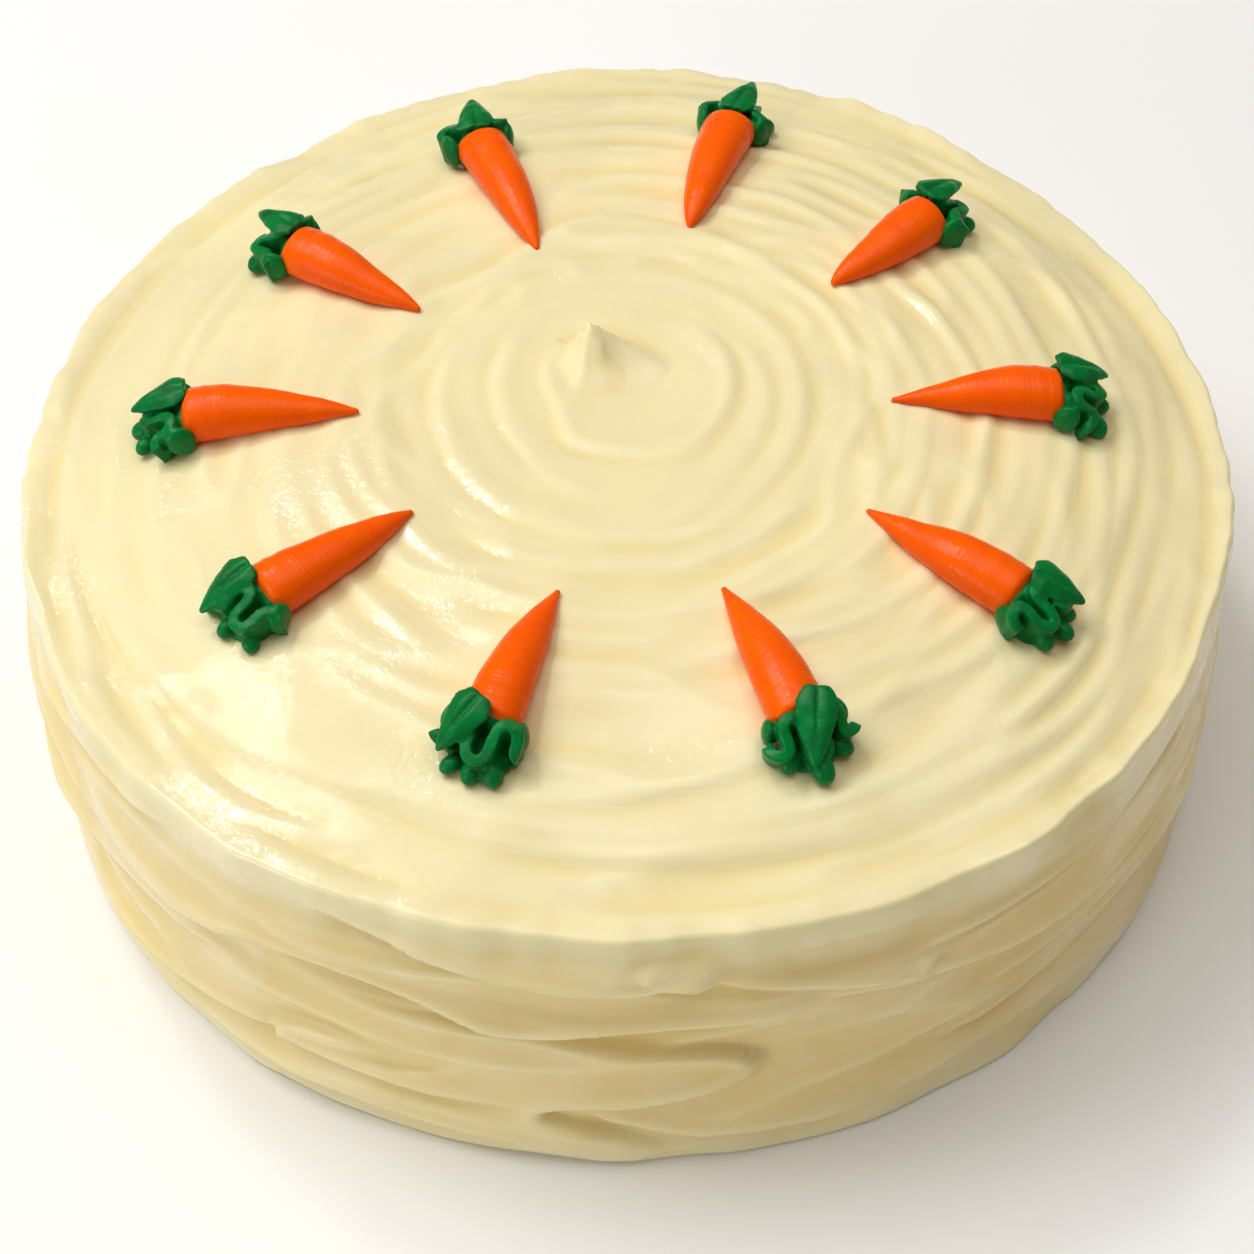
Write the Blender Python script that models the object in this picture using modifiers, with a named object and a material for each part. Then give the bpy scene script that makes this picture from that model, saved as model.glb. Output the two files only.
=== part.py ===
"""A round frosted carrot cake with ten piped carrots on its top.

Metres, +Z up. The origin is the centre of the cake's flat underside, and -Y is its front.
"""

from math import atan2, cos, hypot, pi, radians, sin

import bmesh
import bpy
from mathutils import Matrix, Vector

# The cake
RIM_RADIUS = 0.1150
BASE_RADIUS = 0.1190
RIM_HEIGHT = 0.0630
RIM_ROUNDING = 0.0032
DOME_RISE = 0.0115
DOME_POWER = 3.7
CAKE_STEPS = 54
TOP_RINGS = 22
WALL_RINGS = 6

# The cake was iced by hand, so its rim is a little uneven, and its base half as much
UNEVEN_TWO = 0.0055
UNEVEN_THREE = -0.0110
UNEVEN_FIVE = 0.0050
BASE_EVENNESS = 0.5

# The spiral that the spatula leaves on the top
SPIRAL_PITCH = 0.0125
SPIRAL_DEPTH = 0.0010
SPIRAL_START = 0.050
SPIRAL_END = 0.106
INNER_DISC_RADIUS = 0.0455
INNER_DISC_STEP = 0.0012
PEAK_RISE = 0.0085
PEAK_RADIUS = 0.0100
PEAK_PLACE = Vector((-0.0055, 0.0115))

# The sweeps that it leaves round the wall
SWEEP_DEPTH = 0.0010
SWEEP_FADE = 0.009

# The piped carrots: ten spokes, each a little off its even place
SPOKES = 10
FIRST_SPOKE = 111.5
TIP_RADIUS = 0.0500
TOP_RADIUS = 0.0865
TIP_TURNS = (2.0, 1.5, 0.5, -1.5, 1.5, -1.5, 0.5, -4.5, -1.0, 1.0)
TOP_TURNS = (1.0, 0.0, 2.0, -1.5, -1.5, 0.0, -2.5, -2.5, -0.5, 0.0)
TIP_SHIFTS = (-2.5, 2.5, 3.0, 0.0, 1.0, -1.5, -2.0, -2.0, 1.0, -1.5)
TOP_SHIFTS = (0.0, 3.5, -1.5, -0.5, 1.5, -2.0, -2.5, -2.0, 1.0, -3.0)
CARROT_WIDTH = 0.0106
CARROT_TALL = 0.0096
CARROT_TIP_WIDTH = 0.0012
CARROT_SINK = 0.0016
CARROT_SIDES = 10
CARROT_RINGS = 8
CARROT_PAST_TOP = 0.0010

# Their green tops
TOP_WIDTH = 0.0165
TOP_DEPTH = 0.0125
TOP_HEIGHT = 0.0078
TOP_LOBES = 5
FRILL_HEIGHT = 0.0092
FRILL_WAVE = 0.0024
FRILL_THICKNESS = 0.0016
LEAF_LENGTH = 0.0105
LEAF_WIDTH = 0.0062
LEAF_THICKNESS = 0.0018
LEAF_TURNS = (12, -18, 30, 40, 25, 0, -28, -35, 20, -15)
MOUND_SIDES = 12
MOUND_RINGS = 6
FRILL_STEPS = 8
LEAF_STEPS = 4

# What lies on another piece stays this far off it
GAP = 0.0003

CREAM = (0.90, 0.79, 0.50, 1.0)
ORANGE = (1.00, 0.125, 0.002, 1.0)
GREEN = (0.002, 0.16, 0.03, 1.0)
ICING_ROUGHNESS = 0.35
MILLIMETRE = 0.001


def make_collection(name):
    collection = bpy.data.collections.new(name)
    bpy.context.scene.collection.children.link(collection)
    return collection


def make_material(name, colour):
    material = bpy.data.materials.new(name)
    material.use_nodes = True
    shader = material.node_tree.nodes["Principled BSDF"]
    shader.inputs["Base Color"].default_value = colour
    shader.inputs["Roughness"].default_value = ICING_ROUGHNESS
    shader.inputs["Metallic"].default_value = 0.0
    return material


def make_object(name, mesh, collection):
    thing = bpy.data.objects.new(name, mesh)
    collection.objects.link(thing)
    return thing


def make_cutter(name, mesh):
    cutter = make_object(name, mesh, cutters)
    cutter.hide_render = True
    cutter.display_type = "WIRE"
    return cutter


def mesh_from(shape, name):
    mesh = bpy.data.meshes.new(name)
    shape.to_mesh(mesh)
    shape.free()
    return mesh


def evaluated_mesh(thing):
    """The object's mesh with its modifiers applied."""
    graph = bpy.context.evaluated_depsgraph_get()
    return bpy.data.meshes.new_from_object(thing.evaluated_get(graph))


def add_boolean(thing, other, operation):
    modifier = thing.modifiers.new(other.name, "BOOLEAN")
    modifier.operation = operation
    modifier.solver = "EXACT"
    modifier.object = other


def turned_shape(name, profile, axis, steps):
    """Turns a profile of points in the XZ plane about the X or the Z axis."""
    outline = bpy.data.meshes.new(name)
    edges = [(i, i + 1) for i in range(len(profile) - 1)]
    outline.from_pydata([(x, 0.0, z) for x, z in profile], edges, [])
    turned = make_object(name, outline, cutters)
    screw = turned.modifiers.new("Turn", "SCREW")
    screw.axis = axis
    screw.angle = 2 * pi
    screw.steps = steps
    screw.render_steps = steps
    shape = bmesh.new()
    shape.from_mesh(evaluated_mesh(turned))
    bpy.data.objects.remove(turned)
    bmesh.ops.remove_doubles(shape, verts=shape.verts, dist=1e-6)
    bmesh.ops.recalc_face_normals(shape, faces=shape.faces)
    return shape


def smoothstep(low, high, value):
    share = min(1.0, max(0.0, (value - low) / (high - low)))
    return share * share * (3 - 2 * share)


def outline_factor(angle, height):
    """The outline at a height, as a share of a true circle."""
    uneven = UNEVEN_TWO * sin(2 * angle) + UNEVEN_THREE * sin(3 * angle)
    uneven += UNEVEN_FIVE * sin(5 * angle)
    up = min(1.0, height / RIM_HEIGHT)
    return 1 + uneven * (BASE_EVENNESS + (1 - BASE_EVENNESS) * up)


def spiral_ridge(angle, radius):
    """0 in the groove to 1 on the crest of the ridge that winds outwards."""
    turns = radius / SPIRAL_PITCH - angle / (2 * pi)
    return 0.5 - 0.5 * cos(2 * pi * turns)


def top_rise(angle, radius):
    """Height of the iced top above the rim."""
    dome = DOME_RISE * (1 - min(1.0, radius / RIM_RADIUS) ** DOME_POWER)
    inner_disc = INNER_DISC_STEP * (1 - smoothstep(-0.003, 0.003, radius - INNER_DISC_RADIUS))
    spiral_share = smoothstep(SPIRAL_START - 0.004, SPIRAL_START, radius)
    spiral_share *= 1 - smoothstep(SPIRAL_END - 0.004, SPIRAL_END, radius)
    ridges = SPIRAL_DEPTH * spiral_ridge(angle, radius) * spiral_share
    place = Vector((radius * cos(angle), radius * sin(angle)))
    nearness = max(0.0, 1 - (place - PEAK_PLACE).length / PEAK_RADIUS)
    return dome - inner_disc + ridges + PEAK_RISE * nearness**1.4


def wall_sweep(angle, height):
    """How far the wall stands out where the spatula dragged the icing round it."""
    slant = 90 * height
    sweep = sin(3 * angle + slant) + 0.6 * sin(5 * angle - 2 * slant + 1.0)
    fade = smoothstep(0.0, SWEEP_FADE, height)
    fade *= 1 - smoothstep(RIM_HEIGHT - 2 * SWEEP_FADE, RIM_HEIGHT - SWEEP_FADE, height)
    return SWEEP_DEPTH * sweep * fade


def cake_profile():
    """Radius and height, from the middle of the top over the rim and down to the base."""
    flat_radius = RIM_RADIUS - RIM_ROUNDING
    shoulder = RIM_HEIGHT - RIM_ROUNDING
    profile = [(flat_radius * ring / TOP_RINGS, RIM_HEIGHT) for ring in range(TOP_RINGS + 1)]
    for degrees in (60, 30, 0):
        turn = radians(degrees)
        rounded = RIM_ROUNDING * cos(turn)
        profile.append((flat_radius + rounded, shoulder + RIM_ROUNDING * sin(turn)))
    for ring in range(1, WALL_RINGS + 1):
        share = ring / WALL_RINGS
        profile.append((RIM_RADIUS + (BASE_RADIUS - RIM_RADIUS) * share, shoulder * (1 - share)))
    profile.append((0.0, 0.0))
    return profile


def make_cake_mesh():
    """The turned cake with the spatula's marks pressed into its top and wall."""
    shape = turned_shape("cake_outline", cake_profile(), "Z", CAKE_STEPS)
    for vertex in shape.verts:
        radius = hypot(vertex.co.x, vertex.co.y)
        angle = atan2(vertex.co.y, vertex.co.x)
        height = vertex.co.z
        pushed = radius * outline_factor(angle, height)
        if radius > RIM_RADIUS - RIM_ROUNDING / 2:
            pushed += wall_sweep(angle, height)
        vertex.co.x = pushed * cos(angle)
        vertex.co.y = pushed * sin(angle)
        vertex.co.z += top_rise(angle, radius) * smoothstep(
            RIM_HEIGHT - RIM_ROUNDING, RIM_HEIGHT, height
        )
    return mesh_from(shape, "frosted_cake")


def polar(degrees, radius):
    angle = radians(degrees)
    return Vector((radius * cos(angle), radius * sin(angle)))


class Spoke:
    """Where one carrot lies: its tip, its green top, and how the icing lies under it."""

    def __init__(self, index):
        spoke_angle = FIRST_SPOKE - index * 360 / SPOKES
        tip_radius = TIP_RADIUS + TIP_SHIFTS[index] * MILLIMETRE
        top_radius = TOP_RADIUS + TOP_SHIFTS[index] * MILLIMETRE
        self.number = f"{index + 1:02d}"
        self.tip = polar(spoke_angle + TIP_TURNS[index], tip_radius)
        self.top = polar(spoke_angle + TOP_TURNS[index], top_radius)
        self.leaf_turn = radians(LEAF_TURNS[index])
        self.length = (self.top - self.tip).length

    def frame(self, place):
        """+X points out along the carrot, and the origin is on the icing at that place."""
        out = (self.top - self.tip).normalized()
        rise = icing_height(self.top) - icing_height(self.tip)
        level = Vector((out.x, out.y, rise / self.length)).normalized()
        side = Vector((-out.y, out.x, 0.0))
        up = level.cross(side)
        frame = Matrix((level, side, up)).transposed().to_4x4()
        frame.translation = (place.x, place.y, icing_height(place))
        return frame


def icing_height(place):
    return RIM_HEIGHT + top_rise(atan2(place.y, place.x), place.length)


def carrot_half_width(share):
    """From the pointed tip at 0 to the blunt end at 1."""
    bullet = sin(pi / 2 * min(1.0, share / 0.78)) ** 0.8
    blunt = 1 - 0.5 * smoothstep(0.86, 1.0, share)
    return max(CARROT_TIP_WIDTH, CARROT_WIDTH * bullet * blunt) / 2


def make_carrot(spoke, material, grow=0.0):
    """A turned bullet laid on the icing, or a grown copy of it to cut with."""
    length = spoke.length + CARROT_PAST_TOP
    profile = [(-grow, 0.0)]
    for ring in range(CARROT_RINGS + 1):
        share = (ring / CARROT_RINGS) ** 1.3
        stretched = -grow + share * (length + 2 * grow)
        profile.append((stretched, carrot_half_width(share) + grow))
    profile.append((length + grow, 0.0))
    shape = turned_shape("carrot_outline", profile, "X", CARROT_SIDES)
    flatten = Matrix.Diagonal((1.0, 1.0, CARROT_TALL / CARROT_WIDTH, 1.0))
    lift = Matrix.Translation((0.0, 0.0, CARROT_TALL / 2 - CARROT_SINK))
    shape.transform(spoke.frame(spoke.tip) @ lift @ flatten)
    mesh = mesh_from(shape, f"carrot_{spoke.number}")
    if grow:
        return make_cutter(f"carrot_cutter_{spoke.number}", mesh)
    mesh.materials.append(material)
    carrot = make_object(f"carrot_{spoke.number}", mesh, parts)
    mesh.shade_smooth()
    add_boolean(carrot, icing_cutter, "DIFFERENCE")
    return carrot


def make_mound(name, frame):
    """The low piped heart of a green top, with rounded nubs round its edge."""
    shape = bmesh.new()
    bmesh.ops.create_uvsphere(shape, u_segments=MOUND_SIDES, v_segments=MOUND_RINGS, radius=1.0)
    for vertex in shape.verts:
        around = atan2(vertex.co.y, vertex.co.x)
        nubs = 1 + 0.10 * cos(TOP_LOBES * around)
        vertex.co.x *= nubs * TOP_DEPTH / 2
        vertex.co.y *= nubs * TOP_WIDTH / 2
        vertex.co.z *= TOP_HEIGHT * 0.85
    shape.transform(frame)
    return make_cutter(name, mesh_from(shape, name))


def make_frill(name, frame):
    """The upright ribbon that folds to and fro across the end of the carrot."""
    shape = bmesh.new()
    bmesh.ops.create_grid(shape, x_segments=FRILL_STEPS, y_segments=1, size=0.5)
    for vertex in shape.verts:
        along = vertex.co.x
        raised = vertex.co.y + 0.5
        crown = FRILL_HEIGHT * (1 - (1.7 * along) ** 4 * 0.5)
        lean = -0.0030 + FRILL_WAVE * sin(3 * pi * along) * (0.4 + 0.6 * raised)
        vertex.co = Vector((lean, along * TOP_WIDTH * 0.86, 0.001 + raised * crown))
    shape.transform(frame)
    frill = make_cutter(name, mesh_from(shape, name))
    solidify = frill.modifiers.new("Thickness", "SOLIDIFY")
    solidify.thickness = FRILL_THICKNESS
    solidify.offset = 0.0
    return frill


def make_leaf(name, frame, turn):
    """The single leaf that points outwards and droops onto the icing."""
    shape = bmesh.new()
    bmesh.ops.create_grid(shape, x_segments=LEAF_STEPS, y_segments=2, size=0.5)
    for vertex in shape.verts:
        share = vertex.co.x + 0.5
        side = 2 * vertex.co.y
        half = LEAF_WIDTH / 2 * max(0.10, (1 - share**2.2) ** 0.8)
        droop = 0.0048 - 0.0040 * share
        fold = 0.0012 * abs(side) * (1 - share)
        vertex.co = Vector((0.001 + share * LEAF_LENGTH, side * half, droop + fold))
    shape.transform(frame @ Matrix.Rotation(turn, 4, "Z"))
    leaf = make_cutter(name, mesh_from(shape, name))
    solidify = leaf.modifiers.new("Thickness", "SOLIDIFY")
    solidify.thickness = LEAF_THICKNESS
    solidify.offset = 0.0
    return leaf


def make_green_top(spoke, material):
    """Mound, frill and leaf in one, resting on the icing and over the carrot's end."""
    frame = spoke.frame(spoke.top)
    mound = make_mound(f"mound_{spoke.number}", frame)
    mesh = mound.data.copy()
    mesh.materials.append(material)
    green = make_object(f"green_top_{spoke.number}", mesh, parts)
    add_boolean(green, make_frill(f"frill_{spoke.number}", frame), "UNION")
    add_boolean(green, make_leaf(f"leaf_{spoke.number}", frame, spoke.leaf_turn), "UNION")
    add_boolean(green, icing_cutter, "DIFFERENCE")
    add_boolean(green, make_carrot(spoke, material, grow=GAP), "DIFFERENCE")
    bpy.data.objects.remove(mound)
    return green


for old in list(bpy.data.objects):
    bpy.data.objects.remove(old, do_unlink=True)

parts = make_collection("carrot_cake")
cutters = make_collection("cutters")
cream_icing = make_material("cream_icing", CREAM)
orange_icing = make_material("orange_icing", ORANGE)
green_icing = make_material("green_icing", GREEN)

cake_mesh = make_cake_mesh()
icing_mesh = cake_mesh.copy()
icing_mesh.transform(Matrix.Translation((0.0, 0.0, GAP)))
icing_cutter = make_cutter("icing_cutter", icing_mesh)
cake_mesh.materials.append(cream_icing)
cake_mesh.shade_smooth()
make_object("frosted_cake", cake_mesh, parts)

for index in range(SPOKES):
    spoke = Spoke(index)
    make_carrot(spoke, orange_icing)
    make_green_top(spoke, green_icing)
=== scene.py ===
from math import cos, pi, radians, sin, tan

import bmesh
import bpy
import numpy as np
from mathutils import Matrix, Vector, noise


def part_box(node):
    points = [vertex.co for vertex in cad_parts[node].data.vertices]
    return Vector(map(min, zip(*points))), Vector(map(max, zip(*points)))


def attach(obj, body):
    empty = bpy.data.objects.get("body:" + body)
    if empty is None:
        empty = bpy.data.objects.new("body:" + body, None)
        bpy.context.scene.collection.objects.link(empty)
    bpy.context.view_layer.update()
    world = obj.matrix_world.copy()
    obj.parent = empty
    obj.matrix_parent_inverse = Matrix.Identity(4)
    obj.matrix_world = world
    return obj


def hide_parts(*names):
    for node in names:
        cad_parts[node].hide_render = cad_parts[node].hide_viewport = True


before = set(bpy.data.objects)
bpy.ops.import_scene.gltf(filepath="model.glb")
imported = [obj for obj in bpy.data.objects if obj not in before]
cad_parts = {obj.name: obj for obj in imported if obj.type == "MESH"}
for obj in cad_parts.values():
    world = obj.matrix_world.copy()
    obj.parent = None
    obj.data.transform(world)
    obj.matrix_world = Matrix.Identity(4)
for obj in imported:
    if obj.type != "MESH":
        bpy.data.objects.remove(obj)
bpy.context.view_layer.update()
mm = 0.001


# small helpers for modelling by operator

def deselectAll():
    if bpy.context.object and bpy.context.object.mode != "OBJECT":
        bpy.ops.object.mode_set(mode="OBJECT")
    bpy.ops.object.select_all(action="DESELECT")


def nameActive(name):
    piece = bpy.context.object
    piece.name = name
    piece.data.name = name
    return piece


def readPoints(piece):
    points = np.zeros(len(piece.data.vertices) * 3)
    piece.data.vertices.foreach_get("co", points)
    return points.reshape(-1, 3)


def writePoints(piece, points):
    piece.data.vertices.foreach_set("co", points.astype(np.float32).ravel())
    piece.data.update()


def makeActive(piece):
    deselectAll()
    piece.select_set(True)
    bpy.context.view_layer.objects.active = piece


def applyModifier(piece, kind, **settings):
    makeActive(piece)
    modifier = piece.modifiers.new(kind.title(), kind)
    for key, value in settings.items():
        setattr(modifier, key, value)
    bpy.ops.object.modifier_apply(modifier=modifier.name)


def closeAndTurnOut(piece):
    makeActive(piece)
    bpy.ops.object.mode_set(mode="EDIT")
    bpy.ops.mesh.select_all(action="SELECT")
    bpy.ops.mesh.remove_doubles(threshold=1e-6)
    bpy.ops.mesh.normals_make_consistent(inside=False)
    bpy.ops.object.mode_set(mode="OBJECT")


def smoothStep(low, high, value):
    share = np.clip((value - low) / (high - low), 0.0, 1.0)
    return share * share * (3 - 2 * share)


def curveThrough(points, closeness=12):
    # a smooth line through a few points, with so many steps between each two
    points = [np.array(p, float) for p in points]
    padded = [2 * points[0] - points[1]] + points + [2 * points[-1] - points[-2]]
    line = []
    for before, start, end, after in zip(padded, padded[1:], padded[2:], padded[3:]):
        for step in range(closeness):
            t = step / closeness
            line.append(0.5 * (
                2 * start + (end - before) * t
                + (2 * before - 5 * start + 4 * end - after) * t**2
                + (3 * start - before - 3 * end + after) * t**3
            ))
    line.append(points[-1])
    return np.array(line)


def nearLine(u, v, line):
    # how far each place is from the line, positive on its left, and its share along it
    best = np.full(u.shape, 1e9)
    signed = np.zeros(u.shape)
    share = np.zeros(u.shape)
    count = len(line) - 1
    for index in range(count):
        start, way = line[index], line[index + 1] - line[index]
        length2 = max(1e-12, way @ way)
        t = np.clip(((u - start[0]) * way[0] + (v - start[1]) * way[1]) / length2, 0, 1)
        du, dv = u - start[0] - t * way[0], v - start[1] - t * way[1]
        distance = np.hypot(du, dv)
        closer = distance < best
        side = np.where(way[0] * dv - way[1] * du >= 0, 1.0, -1.0)
        best = np.where(closer, distance, best)
        signed = np.where(closer, side * distance, signed)
        share = np.where(closer, (index + t) / count, share)
    return signed, share


lapFade = {"in": 0.14, "out": 0.84}  # shares of a lap where it has risen and starts to fade


def stroke(u, v, line, rise, left, right, groove, edge):
    # a lap of icing: raised on the left of its line, hollow on the right, fading at its ends
    signed, share = nearLine(u, v, line)
    fade = smoothStep(0.0, lapFade["in"], share) * (1 - smoothStep(lapFade["out"], 1.0, share))
    raised = 1 / (1 + np.exp(-np.clip(signed / edge, -30, 30)))
    upper = rise * raised * np.exp(-np.maximum(signed, 0) / left)
    lower = groove * (1 - raised) * np.exp(-np.maximum(-signed, 0) / right)
    return (upper - lower) * fade


def addAttribute(piece, name, values):
    attribute = piece.data.attributes.new(name, "FLOAT", "POINT")
    attribute.data.foreach_set("value", values.astype(np.float32))


# the icing's shape

lowest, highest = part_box("frosted_cake")
baseRadius = (highest.x - lowest.x) / 2
cake = {
    "baseRadius": baseRadius,
    "rimRadius": baseRadius * 0.966,
    "rimHeight": 63.0 * mm,
    "rimRounding": 1.7 * mm,
    "flatFrom": 109.0 * mm,  # from here to the rim the dome falls no further
    "domeRise": 12.2 * mm,
    "domePower": 3.7,
    "uneven": {2: 0.0055, 3: -0.0110, 5: 0.0050},  # waves of the outline, as a share
    "baseEvenness": 0.5,
    "around": 440,
    "topRings": 122,
    "rimRings": 7,
    "wallRings": 84,
    "baseTuck": 1.2 * mm,
    "tuckRound": 0.3,
    "topMiddle": 0.6 * mm,
    "underMiddle": 0.5 * mm,
    "underRings": (0.9, 0.3),
    "longEdge": 5 * mm,
    "hollowPasses": 14,
    "hollowFull": 0.22 * mm,
}

# where each kind of unevenness starts in the noise
seeds = {
    "drift": 3.1,
    "patch": 7.7,
    "swell": 11.3,
    "rimRidge": 15.1,
    "folds": 21.7,
    "bumps": 5.5,
    "fineBumps": 9.5,
    "hand": 4.0,
}

# laps of the spatula on the top: (degrees, millimetres from the middle), then
# rise, reach inwards, reach outwards and depth of the groove beside it, in millimetres
topLaps = (
    ([(150, 46), (125, 48), (108, 52.5), (95, 54), (78, 52), (60, 50), (40, 49), (20, 46.5),
      (0, 44.3), (-15, 42.5), (-27, 41)], 1.2, 5, 3, 0.6),
    ([(112, 41), (92, 37.6), (65, 37.6), (35, 36.4), (15, 34.6), (-10, 33.4), (-40, 32.8),
      (-62, 33.6), (-90, 34.2), (-125, 34.8), (-160, 35.8), (-182, 37), (-208, 38.8),
      (-232, 40)], 0.9, 4, 2, 0.5),
    ([(70, 31.8), (52, 29), (28, 28.4), (0, 27), (-30, 26), (-52, 27.4), (-72, 30.6),
      (-92, 32)], 0.6, 3, 2, 0.5),
    ([(76, 27.5), (60, 26.6), (42, 25), (26, 22.6), (8, 20), (-14, 17.4), (-40, 15.8),
      (-64, 14.6), (-90, 13.2), (-118, 12.8), (-140, 14), (-165, 13.6), (-186, 14.8),
      (-206, 18.6), (-226, 22.6), (-246, 26)], 1.1, 3.5, 2.2, 0.6),
    ([(-100, 24), (-125, 23.6), (-150, 23), (-175, 25), (-200, 28), (-225, 31)],
     0.7, 3.5, 2.5, 0.4),
    ([(-22, 41), (-45, 40.2), (-62, 40.6), (-82, 41.2), (-110, 42), (-140, 43.5)],
     0.7, 3, 2, 0.5),
    ([(6, 44.6), (-8, 47.4), (-20, 49.8), (-30, 51)], 0.7, 3, 2, 0.4),
    ([(36, 105.5), (15, 107.4), (0, 108.7), (-18, 110), (-34, 111.8)], 0.5, 4, 2.4, 1.0),
    ([(-26, 104), (-58, 103), (-76, 101.6), (-92, 100.4), (-106, 98.6), (-116, 97),
      (-128, 98.4), (-140, 101), (-156, 104), (-176, 106)], 0.35, 6, 2.0, 1.2),
    ([(-70, 84), (-82, 87.6), (-92, 89.8), (-104, 91)], 0.5, 5, 3, 0.7),
    ([(200, 107.6), (180, 107.4), (160, 106.4), (140, 106), (122, 107)], 0.3, 4, 2, 0.9),
    ([(60, 104), (44, 101.5), (26, 100), (8, 99.6)], 0.4, 5, 3, 0.6),
    ([(24, 92), (6, 90.6), (-12, 91.4), (-26, 93)], 0.5, 6, 3, 0.6),
)

topRelief = {
    "lapStrength": 0.85,
    "lapEdge": 0.55 * mm,
    "driftLength": 42 * mm,
    "patchLength": 24 * mm,
    "swell": 0.35 * mm,
    "swellLength": 20 * mm,
    "rimRidge": 1.0 * mm,
    "rimRidgeFrom": 102.0 * mm,
    "rimRidgeTo": 111.0 * mm,
    "rimUneven": 0.6,
    "rimUnevenLength": 30 * mm,
    "rimFront": 0.25,
    "folds": 0.40 * mm,
    "foldTurns": 2.6,
    "foldLength": 7.5 * mm,
    "foldsFrom": 30 * mm,
    "foldsTo": 50 * mm,
}

spiral = {
    "pitch": 5.7 * mm,
    "depth": 0.42 * mm,
    "starts": 52 * mm,
    "ends": 105 * mm,
    "fadeIn": 5 * mm,
    "fadeOut": 8 * mm,
    "drift": 0.9,
    "climb": 0.72,  # share of a turn's width that climbs, before it falls away
    "press": 0.48,
    "pressRight": 0.50,
    "pressTurn": 0.2,
    "pressPatches": 0.75,
    "pressLimits": (0.06, 1.8),
    "outerPress": 0.9,
    "outerFrom": 74 * mm,
    "outerTo": 92 * mm,
    "turnMean": 0.75,
    "turnSwing": 0.55,
    "turnStep": 2.4,
}

middleRings = {
    "fadeFrom": 43 * mm,
    "fadeTo": 49 * mm,
    "shift": 7 * mm,
    "pitch": 6.3 * mm,
    "drift": 0.6,
    "depth": 0.07 * mm,
    "clearFrom": 12 * mm,
    "clearTo": 18 * mm,
    "drop": 0.5 * mm,
    "poolDip": 1.2 * mm,
    "poolReach": 13 * mm,
}

peak = {
    "foot": Vector((-5.5, 13.0)) * mm,
    "tip": Vector((-9.5, 17.0)) * mm,
    "rise": 9.2 * mm,
    "radius": 9.0 * mm,
    "steps": 3,  # cones of one height, each narrower and steeper, from the foot to the tip
    "narrowing": 0.3,
    "power": 1.25,
    "powerStep": 0.7,
    "crestEnd": Vector((8.0, 10.5)) * mm,
    "crestBow": Vector((0, 1.2)) * mm,
    "crestRise": 7.0 * mm,
    "crestFade": 1.1,
    "crestShape": 1.5,
    "crestFront": 6.4 * mm,
    "crestNarrowing": 0.4,
    "crestBack": 2.0 * mm,
    "crestStart": 0.1,
    "overlap": 0.25,
    "creaseDepth": 0.7 * mm,
    "creasePlace": 2.6 * mm,
    "creaseWidth": 1.8 * mm,
}


def outlineFactor(angle, height):
    uneven = sum(size * np.sin(waves * angle) for waves, size in cake["uneven"].items())
    up = np.clip(height / cake["rimHeight"], 0, 1)
    return 1 + uneven * (cake["baseEvenness"] + (1 - cake["baseEvenness"]) * up)


def domeHeight(x, y):
    share = np.minimum(np.hypot(x, y), cake["flatFrom"]) / cake["rimRadius"]
    return cake["domeRise"] * (1 - share ** cake["domePower"])


def polarLine(places):
    # a smooth line in plan through (degrees, millimetres) places
    turned = curveThrough(places, 8)
    angle, radius = np.radians(turned[:, 0]), turned[:, 1] * mm
    return np.stack([radius * np.cos(angle), radius * np.sin(angle)], 1)


def wander(x, y, scale, seed):
    return np.array([
        noise.noise(Vector((a / scale, b / scale, seed))) for a, b in zip(x.ravel(), y.ravel())
    ]).reshape(x.shape)


def ridges(a, b, c, seed):
    # soft hollows between sharp crests, from -1 to 1
    return np.array([
        1 - 4 * abs(noise.noise(Vector((i, j, k + seed)))) for i, j, k in zip(a, b, c)
    ])


def peakHeight(x, y):
    # the pointed curl left in the middle, with a sharp crest that runs down to the right
    foot, tip, end = peak["foot"], peak["tip"], peak["crestEnd"]
    cone = np.zeros(x.shape)
    for step in range(peak["steps"]):
        middle = foot.lerp(tip, step / (peak["steps"] - 1))
        reach = peak["radius"] * (1 - peak["narrowing"] * step)
        near = np.clip(1 - np.hypot(x - middle.x, y - middle.y) / reach, 0, 1)
        cone += peak["rise"] / peak["steps"] * near ** (peak["power"] + peak["powerStep"] * step)
    run = curveThrough([tip, tip.lerp(end, 0.5) + peak["crestBow"], end], 8)
    signed, share = nearLine(x, y, run)
    front = peak["crestFront"] * (1 - peak["crestNarrowing"] * share)
    width = np.where(signed > 0, peak["crestBack"], front)
    crest = peak["crestRise"] * (1 - share) ** peak["crestFade"]
    crest = crest * np.exp(-np.abs(signed / width) ** peak["crestShape"])
    crest = crest * smoothStep(0.0, peak["crestStart"], share)
    behind = (signed - peak["creasePlace"]) / peak["creaseWidth"]
    crease = peak["creaseDepth"] * np.exp(-behind**2) * (1 - share)
    return np.maximum(cone, crest) + peak["overlap"] * np.minimum(cone, crest) - crease


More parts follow.
